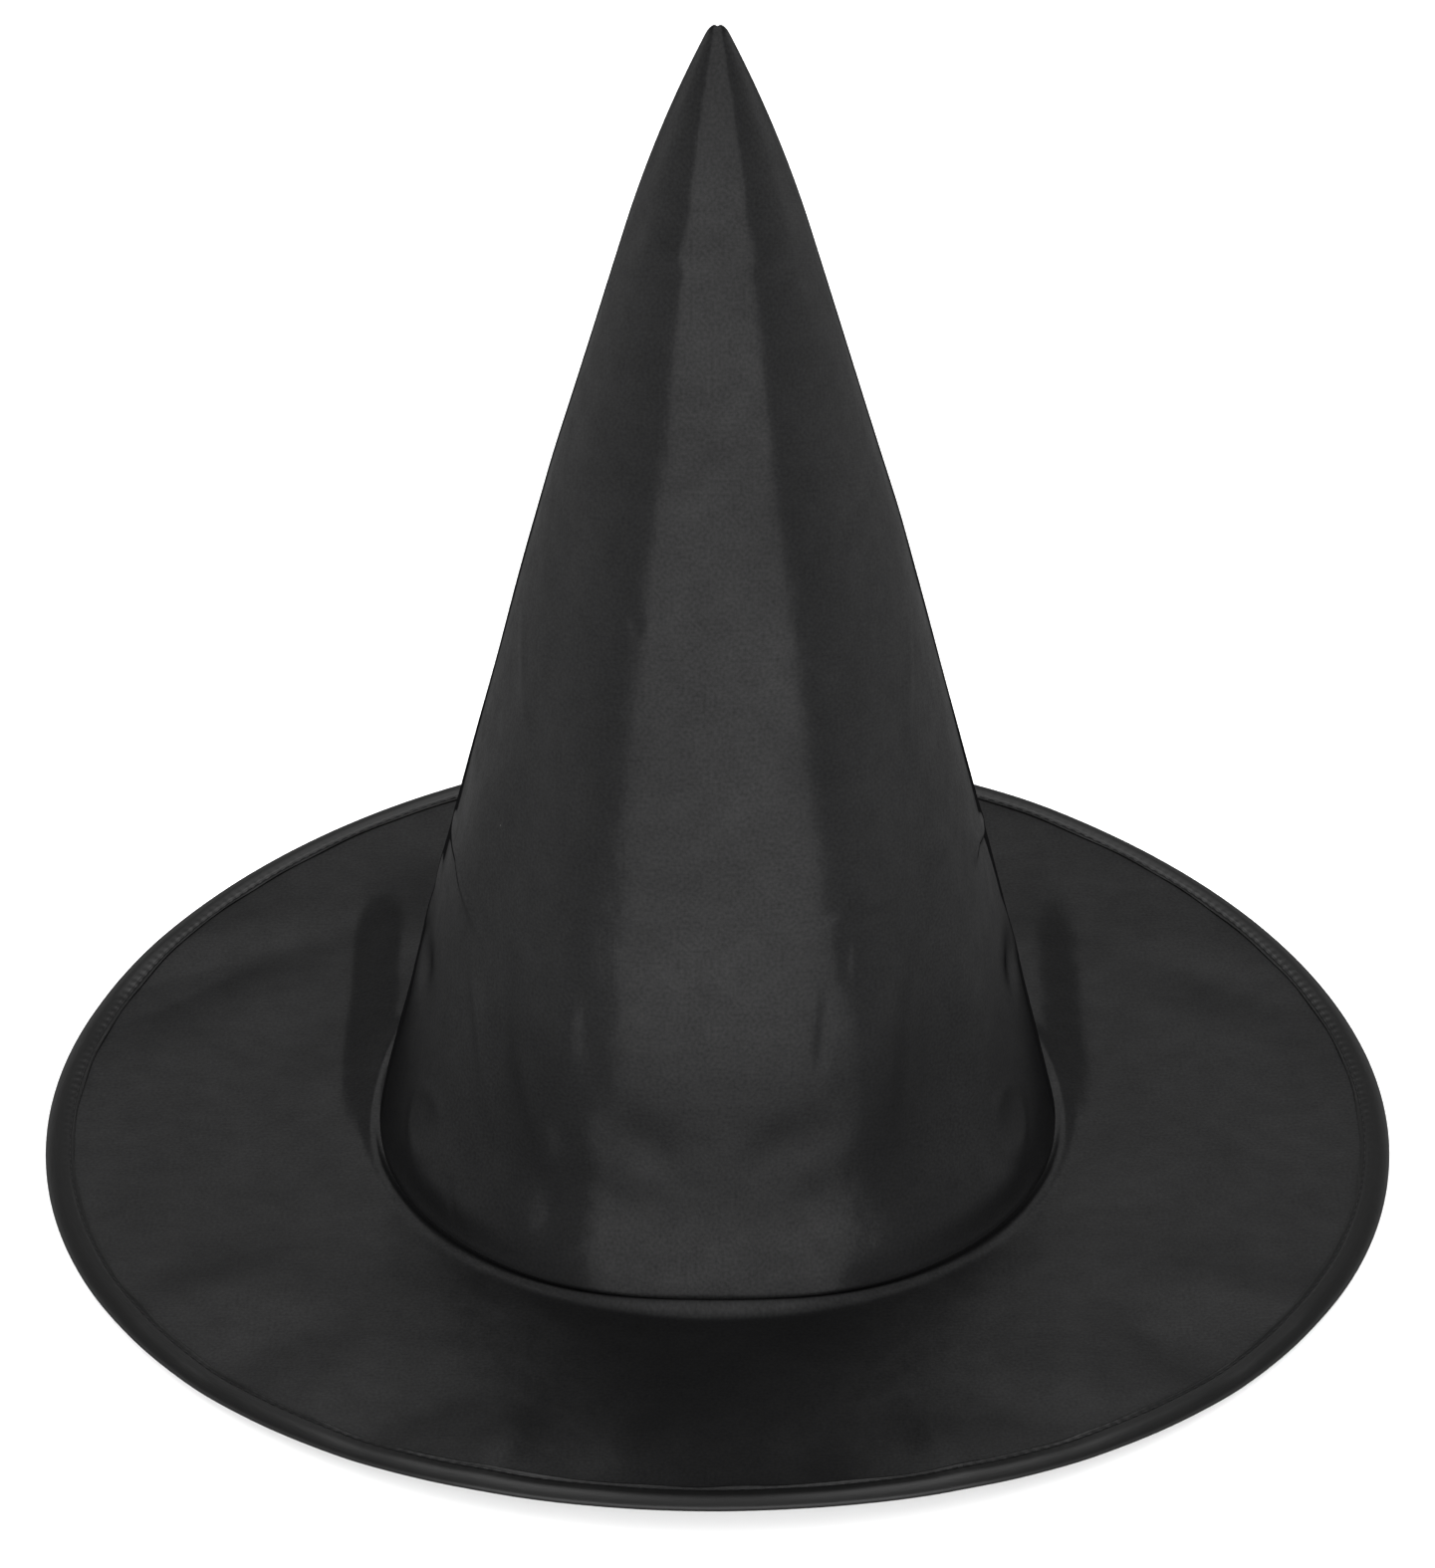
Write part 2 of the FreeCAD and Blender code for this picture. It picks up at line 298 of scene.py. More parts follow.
def seam_lip(x, y):
    """The roll of cloth that stands up where the brim meets the crown, fullest in front."""
    radius, angle = np.hypot(x, y), np.arctan2(x, -y)
    front = 0.10 + 0.90 * np.exp(-(angle / 0.38) ** 2)
    roll = np.exp(-((radius - CROWN_RADIUS - LIP_FROM_CROWN) / LIP_WIDTH) ** 2)
    rise = smooth(CROWN_RADIUS - 0.6 * MM, CROWN_RADIUS + 1.6 * MM, radius)
    return LIP_HEIGHT * front * roll * rise


def side_fold(x, y):
    """A fold that runs straight back from each side of the crown: the brim steps down outside."""
    fold = np.zeros_like(x)
    for side, drop in SIDE_FOLDS:
        step = 1 - smooth(91 * MM, 110 * MM, side * x)
        along = smooth(-30 * MM, 25 * MM, y) * (1 - smooth(80 * MM, 135 * MM, y))
        inside = smooth(40 * MM, 85 * MM, side * x)
        fold = fold + drop * step * along * inside
    return fold


def brim_radii(inner, outer):
    """Radii of the brim's rings, close together at the crown and wider outwards."""
    near = min(CROWN_RADIUS + 10 * MM, outer)
    close = np.arange(inner, near, 0.4 * MM)
    wide = np.linspace(near, outer, int((outer - near) / (1.3 * MM)) + 2)
    return np.concatenate([close, wide])


def brim_sheet(name, outer, lift, columns, shaped=False, coarse=False, face_up=True):
    """One round sheet of the brim, at lift above or below the middle of its thickness.
    A shaped sheet has the roll and the folds beside the crown, and a coarse one has few rings."""
    inner = TAPE_OUTER + LAYER_GAP
    radii = np.linspace(inner, outer, FELT_RINGS) if coarse else brim_radii(inner, outer)
    radius, angle = np.meshgrid(radii, ring_angles(columns), indexing="ij")
    x, y = polar(radius, angle)
    z = brim_level(x, y) + lift
    if shaped:
        z = z + seam_lip(x, y) + side_fold(x, y)
    piece = grid_piece(name, np.stack([x, y, z], -1), flip=face_up)
    add_uv(piece, np.stack([x, y], -1).reshape(-1, 2))
    return piece


# ---------------------------------------------------------------- the crown's shape

def crown_outline():
    """The smooth outline as arrays: run, radius, height and lean."""
    leans = (BASE_LEAN, SHOULDER_LEAN, TIP_LEAN, math.pi / 2)
    r, z, run = CROWN_RADIUS, CROWN_BASE_HEIGHT, 0.0
    table = []
    for number, bow in enumerate((WALL_BOW_RADIUS, POINT_BOW_RADIUS, None)):
        bow = bow or r / math.cos(leans[number])    # the last arc closes the tip
        lean = np.linspace(leans[number], leans[number + 1], 200)
        radius = r + bow * (np.cos(lean) - math.cos(leans[number]))
        height = z + bow * (np.sin(lean) - math.sin(leans[number]))
        length = run + bow * (lean - leans[number])
        table.append(np.stack([length, radius, height, lean]))
        run, r, z = length[-1], radius[-1], height[-1]
    return np.concatenate(table, axis=1)


OUTLINE = crown_outline()
CROWN_RUN = OUTLINE[0, -1]

# Soft dents and bulges in the crown: angle, height, half-width, half-height, depth, turn.
# Depth is negative inwards. Widths, heights and depths are in millimetres.
CROWN_DENTS = [
    (2, 40, 6, 14, 0.6, 0),
    (-51, 15, 24, 12, 3.0, 0),
    (50, 15, 24, 12, 3.0, 0),
    (-13, 49, 12, 9, -1.7, 30),
    (-15, 30, 12, 8, -0.9, 10),
    (13, 49, 12, 9, -1.6, -30),
    (17, 32, 11, 8, -0.8, -10),
    (45, 55, 11, 32, -2.4, -8),
    (59, 62, 9, 34, 1.2, 0),
    (30, 66, 8, 34, 0.9, 0),
    (-44, 66, 7, 34, -1.2, 8),
    (-33, 52, 6, 30, 0.9, 8),
    (-58, 78, 8, 24, -0.9, 0),
    (-23, 90, 7, 28, -0.5, 0),
    (-72, 148, 12, 20, -1.2, 0),
    (73, 148, 12, 20, -1.2, 0),
    (-45, 27, 6, 15, -0.6, 10),
    (-31, 24, 6, 15, -0.25, -8),
    (-10, 17, 11, 7, -0.9, 0),
    (12, 18, 11, 7, -0.7, 0),
    (-80, 62, 8, 7, -1.2, 0),
    (81, 61, 8, 7, -1.2, 0),
    (0, 103, 34, 9, -0.5, 0),
    (0, 94, 9, 2.6, 0.35, 0),
    (-63, 28, 5, 5, -0.3, 0),
    (63, 29, 5, 5, -0.3, 0),
    (-90, 180, 60, 55, 0.7, 0),
    (90, 180, 60, 55, 0.7, 0),
    (-33, 206, 3, 3, -0.3, 0),
    (33, 206, 3, 3, -0.3, 0),
    (-50, 166, 6, 6, -0.4, 0),
    (34, 168, 6, 8, -0.5, 0),
    (33, 150, 7, 4, -0.5, 0),
    (-40, 281, 9, 5, 0.5, 0),
    (40, 281, 9, 5, 0.5, 0),
    (140, 70, 26, 30, -1.6, 20),
    (-140, 80, 24, 26, -1.4, -20),
    (120, 140, 20, 24, -1.2, 0),
    (-115, 150, 20, 24, -1.2, 0),
    (165, 34, 24, 13, -1.6, 0),
    (-160, 36, 24, 13, -1.4, 0),
    (180, 120, 18, 30, -0.7, 0),
]

# Creases and folded edges: places along each as (angle, height), half-width and how far out
CROWN_CREASES = [
    (((-92, 102), (-75, 100), (-66, 94), (-59, 88)), 1.9, 0.95),
    (((-95, 88), (-87, 81), (-95, 61)), 3.0, 0.58),
    (((-60, 86), (-58, 76), (-51, 60), (-45, 38)), 2.4, 0.50),
    (((-46, 101), (-40, 67), (-34, 48), (-30, 34)), 4.9, 0.58),
    (((-50, 23), (-49, 8)), 1.3, -0.60),
    (((-36, 13), (-38, 7)), 1.2, 0.40),
    (((95, 99), (78, 103), (72, 100)), 1.9, 0.95),
    (((70, 117), (55, 111), (49, 97)), 2.2, 0.65),
    (((75, 109), (66, 102), (58, 93)), 2.4, 0.43),
    (((84, 103), (85, 80), (95, 50)), 3.0, 0.58),
    (((46, 93), (39, 78), (36, 50), (37, 30)), 4.1, -0.43),
    (((21, 109), (31, 112), (40, 110)), 1.9, 0.36),
    (((27, 110), (25, 93)), 1.8, -0.25),
    (((21, 94), (18, 69)), 2.0, -0.22),
    (((-29, 108), (-24, 71)), 3.0, -0.22),
    (((34, 89), (33, 59)), 2.7, 0.22),
    (((-74, 268), (-45, 274), (-20, 278)), 1.8, -0.43),
    (((74, 268), (45, 274), (21, 278)), 1.8, -0.43),
    (((-27, 190), (-22, 186)), 1.9, -0.25),
    (((30, 190), (24, 185)), 1.9, -0.25),
    (((-74, 174), (-64, 160), (-56, 147)), 2.0, 0.36),
    (((71, 174), (63, 160), (55, 145)), 2.0, 0.36),
    (((-7, 112), (0, 118), (7, 112)), 1.8, 0.18),
    (((110, 120), (122, 96), (118, 60)), 3.2, 0.58),
    (((-112, 124), (-125, 96), (-120, 52)), 3.2, 0.58),
    (((150, 150), (160, 110), (152, 64)), 4.1, 0.43),
    (((-150, 170), (-158, 120), (-150, 66)), 4.1, 0.43),
    (((130, 40), (138, 18)), 2.7, -0.43),
    (((-133, 44), (-140, 16)), 2.7, -0.43),
]

# Dimples with a raised ring round them: angle, height, ring's radius
CROWN_RINGS = [(-63, 28, 9), (63, 29, 9)]
CROWN_SWELL_COUNT = 110
RING_HEIGHT = 0.22 * MM
RING_WIDTH = 2.6 * MM
SEAM_GROOVE = 0.45 * MM         # at the back seam, with the pucker that its stitches make
SEAM_PUCKER = 0.12 * MM
BASE_TURN = 0.3 * MM            # how far the cloth turns in at its lower edge

# The front's fullness: from this height to this one the wall comes this much further out, in
# millimetres. So it leans back at its foot, then stands upright, and leans back again above.
FRONT_FULLNESS = [(8, 25, -2.8), (25, 82, 9.6), (86, 260, -6.8)]


def crown_unevenness():
    """Many faint hollows and swells in the cloth: angle, height, size and depth."""
    angle = CHANCE.uniform(-np.pi, np.pi, CROWN_SWELL_COUNT)
    height = 12 * MM + 230 * MM * CHANCE.uniform(0, 1, CROWN_SWELL_COUNT) ** 1.5
    size = CHANCE.uniform(5, 16, CROWN_SWELL_COUNT) * MM
    depth = CHANCE.normal(0, 0.016, CROWN_SWELL_COUNT) * size
    return np.stack([angle, height, size, depth], -1)


CROWN_SWELLS = crown_unevenness()


def crease_relief(angle, height, radius):
    """How far the creases stand out."""
    relief = np.zeros_like(height)
    for places, wide, out in CROWN_CREASES:
        middle = math.radians(sum(place[0] for place in places) / len(places))
        around = turn(angle - middle)
        near = np.abs(around) < 0.9
        best = np.full_like(height, 1.0)
        ends = np.zeros_like(height)
        for number in range(len(places) - 1):
            corners = []
            for degrees, level in places[number:number + 2]:
                at = np.interp(level * MM, OUTLINE[2], OUTLINE[1])
                corners.append(((math.radians(degrees) - middle) * at, level * MM))
            away, share = distance_to_line(around * radius, height, *corners)
            closer = away < best
            best = np.where(closer, away, best)
            ends = np.where(closer, number + share, ends)
        whole = len(places) - 1
        taper = np.sin(np.clip(ends / whole, 0.02, 0.98) * np.pi) ** 0.6
        relief = relief + near * out * MM * taper * np.exp(-(best / (wide * MM)) ** 2)
    return relief


def front_fullness(angle, height):
    """How far the front of the wall stands out, fading towards the sides."""
    out = sum(more * smooth(low, high, height / MM) for low, high, more in FRONT_FULLNESS)
    return out * MM * (1 - smooth(0.45, 0.95, np.abs(angle)))


def crown_relief(angle, height, radius):
    """How far the cloth stands out from the smooth outline."""
    relief = crease_relief(angle, height, radius) + front_fullness(angle, height)
    for degrees, middle, wide, tall, depth, slant in CROWN_DENTS:
        around = turn(angle - math.radians(degrees)) * radius
        dent = bump_on(around, height - middle * MM, wide * MM, tall * MM, slant)
        relief = relief + depth * MM * dent
    for degrees, middle, size in CROWN_RINGS:
        around = turn(angle - math.radians(degrees)) * radius
        away = np.hypot(around, height - middle * MM) - size * MM
        relief = relief + RING_HEIGHT * np.exp(-(away / RING_WIDTH) ** 2)
    for at, middle, size, depth in CROWN_SWELLS:
        away = (turn(angle - at) * radius) ** 2 + (height - middle) ** 2
        relief = relief + depth * np.exp(-away / size ** 2)
    seam = turn(angle - np.pi) * radius
    pucker = SEAM_PUCKER * np.cos(height * 2 * np.pi / STITCH_PITCH) * np.exp(-(seam / (3 * MM)) ** 2)
    groove = SEAM_GROOVE * np.exp(-(seam / (0.5 * MM)) ** 2)
    return relief * smooth(3 * MM, 18 * MM, height) + pucker - groove


def crown_points(angle, run, depth):
    """Points of the crown's wall at this angle and run, depth below its face."""
    radius = np.interp(run, OUTLINE[0], OUTLINE[1])
    height = np.interp(run, OUTLINE[0], OUTLINE[2])
    lean = np.interp(run, OUTLINE[0], OUTLINE[3])
    out = crown_relief(angle, height, radius) - depth
    out = out - BASE_TURN * (1 - smooth(0, 2.6 * MM, run)) ** 2
    seat = brim_level(*polar(CROWN_RADIUS, angle)) + HALF_BRIM - CROWN_BASE_HEIGHT
    height = height + seat * (1 - smooth(0, 80 * MM, run))
    radius = np.maximum(radius + out * np.cos(lean), 0)
    x, y = polar(radius, angle)
    return np.stack([x, y, height + out * np.sin(lean)], -1)


def unrolled(angle, run):
    """Where this place of the crown is on its flat cut."""
    radius = np.interp(run, OUTLINE[0], OUTLINE[1])
    from_tip = CROWN_RUN - run + 1 * MM
    swing = angle * radius / from_tip
    return np.stack([from_tip * np.sin(swing), -from_tip * np.cos(swing)], -1)


def crown_angles():
    """Angles round the crown: close together in front and at the back seam."""
    front = np.radians(np.arange(-114, 114.01, 0.6))
    behind = np.radians(np.arange(115, 176, 1.1))
    seam = np.pi - np.radians([3.2, 2.4, 1.7, 1.2, 0.8, 0.5, 0.3, 0.15])
    one_side = np.concatenate([behind, seam])
    return np.concatenate([-one_side[::-1], front, one_side, [np.pi]])


def crown_runs():
    """Runs up the crown: close together at the base seam and where the cloth is creased."""
    base = np.arange(0, 3 * MM, 0.35 * MM)
    lower = np.arange(3 * MM, 140 * MM, 0.9 * MM)
    upper = np.arange(140 * MM, CROWN_RUN - 12 * MM, 1.6 * MM)
    point = np.linspace(CROWN_RUN - 12 * MM, CROWN_RUN, 24)
    return np.concatenate([base, lower, upper, point])


def crown_surface(name, depth, angles, runs):
    """The crown's wall as a surface, all round and up to the tip."""
    run, angle = np.meshgrid(runs, angles, indexing="ij")
    piece = grid_piece(name, crown_points(angle, run, depth), tip=True)
    uv = unrolled(angle, run).reshape(-1, 2)
    add_uv(piece, uv[:len(piece.data.vertices)])
    return piece


# ---------------------------------------------------------------- materials

def new_material(name):
    material = bpy.data.materials.new(name)
    material.use_nodes = True
    nodes = material.node_tree.nodes
    return material, nodes, material.node_tree.links, nodes["Principled BSDF"]


def add_node(nodes, kind, **settings):
    """A shader node with its settings; a name that isn't a setting is an input."""
    node = nodes.new(kind)
    for key, value in settings.items():
        if hasattr(node, key):
            setattr(node, key, value)
        else:
            node.inputs[key.replace("_", " ")].default_value = value
    return node


def cloth_coordinates(nodes, links, scale, turned=0.0):
    """Cloth coordinates in millimetres, turned and then stretched by scale."""
    uv = add_node(nodes, "ShaderNodeUVMap", uv_map="cloth")
    mapping = add_node(nodes, "ShaderNodeMapping")
    mapping.inputs["Rotation"].default_value[2] = math.radians(turned)
    mapping.inputs["Scale"].default_value = [1000 * part for part in scale]
    links.new(uv.outputs["UV"], mapping.inputs["Vector"])
    return mapping.outputs["Vector"]


def noise_at(nodes, links, vector, scale, detail=2.0, roughness=0.5):
    noise = add_node(nodes, "ShaderNodeTexNoise", Scale=scale, Detail=detail, Roughness=roughness)
    links.new(vector, noise.inputs["Vector"])
    return noise.outputs["Fac"]


def map_range(nodes, links, value, from_low, from_high, to_low, to_high):
    node = add_node(nodes, "ShaderNodeMapRange")
    for name, number in zip(("From Min", "From Max", "To Min", "To Max"),
                            (from_low, from_high, to_low, to_high)):
        node.inputs[name].default_value = number
    links.new(value, node.inputs["Value"])
    return node.outputs["Result"]


def blend(nodes, links, first, second, share):
    """Two grey values mixed."""
    mix = add_node(nodes, "ShaderNodeMix", data_type="FLOAT")
    mix.inputs["Factor"].default_value = share
    links.new(first, mix.inputs["A"])
    links.new(second, mix.inputs["B"])
    return mix.outputs["Result"]


def product(nodes, links, first, second):
    """Two grey values multiplied."""
    both = add_node(nodes, "ShaderNodeMath", operation="MULTIPLY")
    links.new(first, both.inputs[0])
    links.new(second, both.inputs[1])
    return both.outputs["Value"]


def colour_between(nodes, links, value, dark, light):
    tint = add_node(nodes, "ShaderNodeMix", data_type="RGBA")
    tint.inputs["A"].default_value = (*dark, 1)
    tint.inputs["B"].default_value = (*light, 1)
    links.new(value, tint.inputs["Factor"])
    return tint.outputs["Result"]


def uneven_colour(nodes, links, value, colour, spread):
    """A colour that is darker by spread where value is 0 and lighter by spread where it is 1."""
    dark = [(1 - spread) * part for part in colour]
    light = [(1 + spread) * part for part in colour]
    return colour_between(nodes, links, value, dark, light)


def bump(nodes, links, height, strength, distance, normal=None):
    node = add_node(nodes, "ShaderNodeBump", Strength=strength, Distance=distance)
    links.new(height, node.inputs["Height"])
    if normal is not None:
        links.new(normal, node.inputs["Normal"])
    return node.outputs["Normal"]


def lint(nodes, links, flat):
    """1 on a few tiny specks of lint, 0 elsewhere."""
    cells = add_node(nodes, "ShaderNodeTexVoronoi", Scale=0.03)
    links.new(flat, cells.inputs["Vector"])
    speck = map_range(nodes, links, cells.outputs["Distance"], 0.006, 0.009, 1.0, 0.0)
    pick = add_node(nodes, "ShaderNodeSeparateColor")
    links.new(cells.outputs["Color"], pick.inputs["Color"])
    chosen = map_range(nodes, links, pick.outputs["Red"], 0.70, 0.72, 0.0, 1.0)
    return product(nodes, links, speck, chosen)


BLACK = (0.0105, 0.0105, 0.011)
LINT = (0.16, 0.155, 0.15)
SATIN_ROUGHNESS = 0.37
SATIN_IOR = 1.38
SATIN_COMB = 1.0                # how strongly the gloss is spread across the threads
TAPE_COMB = 0.7
COMB_TURN = 0.25                # the direction of that spread in the cloth, in turns
WAVES = 2.2 * MM                # depths of the satin's waves, ripples and weave
RIPPLES = 0.45 * MM
WEAVE = 0.06 * MM
FLOOR_WHITE = 0.92
FLOOR_SEEN_BY_HAT = 0.23

# The cloth's gloss, from places seen face on (0) to places seen edge on (1)
GLOSS_BY_FACING = [(0.0, 0.48), (0.20, 0.56), (0.36, 0.43), (0.54, 0.18), (0.70, 0.06), (0.88, 0.0)]


def facing_gloss(nodes, links):
    """A gloss that loose yarns take away where the cloth is seen edge on."""
    facing = add_node(nodes, "ShaderNodeLayerWeight", Blend=0.5)
    curve = add_node(nodes, "ShaderNodeFloatCurve")
    points = curve.mapping.curves[0].points
    while len(points) < len(GLOSS_BY_FACING):
        points.new(0.5, 0.5)
    for point, place in zip(points, GLOSS_BY_FACING):
        point.location = place
    curve.mapping.update()
    links.new(facing.outputs["Facing"], curve.inputs["Value"])
    return curve.outputs["Value"]


def comb(nodes, links, shader, amount):
    """Spreads the gloss across the threads."""
    tangent = add_node(nodes, "ShaderNodeTangent", direction_type="UV_MAP", uv_map="cloth")
    links.new(tangent.outputs["Tangent"], shader.inputs["Tangent"])
    shader.inputs["Anisotropic"].default_value = amount
    shader.inputs["Anisotropic Rotation"].default_value = COMB_TURN


def satin(name):
    """Black woven satin: fine cross ribs, uneven threads, soft gloss and a few specks of lint."""
    material, nodes, links, shader = new_material(name)
    flat = cloth_coordinates(nodes, links, (1, 1, 1))
    ribs = noise_at(nodes, links, cloth_coordinates(nodes, links, (0.09, 2.9, 1)), 1.0, 1.0)
    warp = noise_at(nodes, links, cloth_coordinates(nodes, links, (2.6, 0.12, 1)), 1.0, 1.0)
    soft = noise_at(nodes, links, flat, 0.03, 3.0)
    weave = blend(nodes, links, ribs, warp, 0.35)
    cloth = uneven_colour(nodes, links, weave, BLACK, 0.25)
    specks = add_node(nodes, "ShaderNodeMix", data_type="RGBA")
    specks.inputs["B"].default_value = (*LINT, 1)
    links.new(lint(nodes, links, flat), specks.inputs["Factor"])
    links.new(cloth, specks.inputs["A"])
    links.new(specks.outputs["Result"], shader.inputs["Base Color"])
    rough = map_range(nodes, links, soft, 0.3, 0.7, SATIN_ROUGHNESS - 0.03, SATIN_ROUGHNESS + 0.04)
    links.new(rough, shader.inputs["Roughness"])
    shader.inputs["IOR"].default_value = SATIN_IOR
    fine = noise_at(nodes, links, flat, 0.13, 3.0)
    grain = blend(nodes, links, noise_at(nodes, links, flat, 1.1, 2.0), fine, 0.3)
    uneven = map_range(nodes, links, grain, 0.3, 0.7, 0.66, 1.34)
    gloss = product(nodes, links, facing_gloss(nodes, links), uneven)
    links.new(gloss, shader.inputs["Specular IOR Level"])
    comb(nodes, links, shader, SATIN_COMB)
    waves = bump(nodes, links, soft, 0.25, WAVES)
    ripples = bump(nodes, links, fine, 0.25, RIPPLES, waves)
    links.new(bump(nodes, links, weave, 0.5, WEAVE, ripples), shader.inputs["Normal"])
    return material


def tape(name, colour, roughness, gloss, turned, pitch, depth):
    """Woven tape with straight ribs. They are pitch millimetres apart and depth millimetres deep,
    and turned is their angle to the cloth's own coordinates in degrees."""
    material, nodes, links, shader = new_material(name)
    stretch = (0.10 / pitch, 0.75 / pitch, 1)
    ribs = noise_at(nodes, links, cloth_coordinates(nodes, links, stretch, turned), 1.0, 0.5)
    soft = noise_at(nodes, links, cloth_coordinates(nodes, links, (1, 1, 1)), 0.12, 3.0)
    mixed = blend(nodes, links, ribs, soft, 0.4)
    links.new(uneven_colour(nodes, links, mixed, colour, 0.35), shader.inputs["Base Color"])
    comb(nodes, links, shader, TAPE_COMB)
    shader.inputs["Roughness"].default_value = roughness
    shine = map_range(nodes, links, facing_gloss(nodes, links), 0.0, 1.0, 0.0, 2 * gloss)
    links.new(shine, shader.inputs["Specular IOR Level"])
    links.new(bump(nodes, links, ribs, 0.5, depth * MM), shader.inputs["Normal"])
    return material


def felt(name, colour):
    """Matted fibres with no direction."""
    material, nodes, links, shader = new_material(name)
    flat = cloth_coordinates(nodes, links, (1, 1, 1))
    fibres = noise_at(nodes, links, flat, 1.6, 4.0, 0.7)
    clumps = noise_at(nodes, links, flat, 0.15, 3.0)
    mixed = blend(nodes, links, fibres, clumps, 0.4)
    links.new(uneven_colour(nodes, links, mixed, colour, 0.45), shader.inputs["Base Color"])
    shader.inputs["Roughness"].default_value = 0.95
    shader.inputs["Specular IOR Level"].default_value = 0.2
    links.new(bump(nodes, links, fibres, 0.6, 0.25 * MM), shader.inputs["Normal"])
    return material


def spun(name, colour):
    """Spun thread: matt, with a fine uneven twist."""
    material, nodes, links, shader = new_material(name)
    place = add_node(nodes, "ShaderNodeTexCoord")
    twist = noise_at(nodes, links, place.outputs["Object"], 2200.0, 1.0)
    links.new(uneven_colour(nodes, links, twist, colour, 0.4), shader.inputs["Base Color"])
    shader.inputs["Roughness"].default_value = 0.6
    links.new(bump(nodes, links, twist, 0.4, 0.05 * MM), shader.inputs["Normal"])
    return material


def steel(name, colour, roughness):
    """Drawn steel with faint streaks."""
    material, nodes, links, shader = new_material(name)
    place = add_node(nodes, "ShaderNodeTexCoord")
    streaks = noise_at(nodes, links, place.outputs["Object"], 300.0, 2.0)
    shader.inputs["Base Color"].default_value = (*colour, 1)
    shader.inputs["Metallic"].default_value = 1.0
    worn = map_range(nodes, links, streaks, 0.3, 0.7, roughness - 0.08, roughness + 0.08)
    links.new(worn, shader.inputs["Roughness"])
    return material


def floor_paint():
    """White to the camera, and greyer as the hat reflects it."""
    material, nodes, links, shader = new_material("floor paint")
    seen = add_node(nodes, "ShaderNodeLightPath")
    grey, white = [FLOOR_SEEN_BY_HAT] * 3, [FLOOR_WHITE] * 3
    paint = colour_between(nodes, links, seen.outputs["Is Camera Ray"], grey, white)
    links.new(paint, shader.inputs["Base Color"])
    shader.inputs["Roughness"].default_value = 0.9
    return material


THREAD = spun("thread", (0.012, 0.012, 0.013))


# ---------------------------------------------------------------- the crown's pieces

def make_crown_cloth():
    cloth = crown_surface("crown_cloth", 0.0, crown_angles(), crown_runs())
    thicken(cloth, CLOTH)
    finish_piece(cloth, "crown_shell", satin("crown satin"))


def make_interlining():
    lining = crown_surface("crown_interlining_felt", LINING_DEPTH, crown_angles()[::2], crown_runs()[::2])
    thicken(lining, INTERLINING)
    finish_piece(lining, "crown_interlining", felt("interlining", (0.03, 0.03, 0.032)))


def wall_strip(name, across, runs, depth):
    """A strip on the inside of the crown's wall at the back; across is measured from the seam."""
    run, side = np.meshgrid(runs, across, indexing="ij")
    radius = np.interp(run, OUTLINE[0], OUTLINE[1])
    points = crown_points(np.pi - side / radius, run, depth)
    piece = grid_piece(name, points, round_it=False, flip=True)
    add_uv(piece, np.stack([run, side], -1).reshape(-1, 2))
    return piece


def run_at(height):
    return np.interp(height, OUTLINE[2], OUTLINE[0])


# A place just above the head tape's upper edge, as a height on the crown's outline
TAPE_LINE = CROWN_BASE_HEIGHT + TAPE_TOP - HALF_BRIM + 0.3 * MM


def make_seam_tape():
    across = np.linspace(-SEAM_TAPE_HALF, SEAM_TAPE_HALF, 15)
    runs = np.arange(run_at(TAPE_LINE), run_at(SEAM_TAPE_TOP), 1.6 * MM)
    strip = wall_strip("crown_seam_tape_strip", across, runs, TAPE_DEPTH)
    thicken(strip, SEAM_TAPE)
    weave = tape("seam tape", (0.02, 0.02, 0.021), roughness=0.85, gloss=0.3,
                 turned=90, pitch=0.8, depth=0.12)
    finish_piece(strip, "crown_seam_tape", weave)


def make_label():
    """A blank ribbon label folded over at its upper end, with both ends in the head tape's seam."""
    across = np.linspace(-LABEL_RIGHT, -LABEL_LEFT, LABEL_COLUMNS)
    up = np.linspace(0, 1, LABEL_ROWS)
    down = np.linspace(1, 0, LABEL_ROWS)[1:]
    share = np.concatenate([up, down])      # of the label's height; leaf is 0 in front, 1 behind
    leaf = np.concatenate([np.zeros(LABEL_ROWS - 1), [0.5], np.ones(LABEL_ROWS - 1)])
    runs = run_at(TAPE_LINE) + share * LABEL_HEIGHT
    run, side = np.meshgrid(runs, across, indexing="ij")
    depth = TAPE_DEPTH + LABEL_RIBBON / 2 + ((LABEL - LABEL_RIBBON) * leaf)[:, None]
    curl = np.abs(0.25 * MM * np.sin(side / (5 * MM)) * (share[:, None] ** 2))
    radius = np.interp(run, OUTLINE[0], OUTLINE[1])
    points = crown_points(np.pi - side / radius, run, depth + curl)
    piece = grid_piece("care_label_ribbon", points, round_it=False)
    length = np.concatenate([[0], np.cumsum(np.abs(np.diff(runs)))])
    cut = np.meshgrid(length, across, indexing="ij")
    add_uv(piece, np.stack(cut, -1).reshape(-1, 2))
    thicken(piece, LABEL_RIBBON)
    weave = tape("label satin", (0.72, 0.71, 0.69), roughness=0.45, gloss=0.4,
                 turned=0, pitch=0.25, depth=0.03)
    finish_piece(piece, "care_label", weave)


# ---------------------------------------------------------------- the brim's pieces

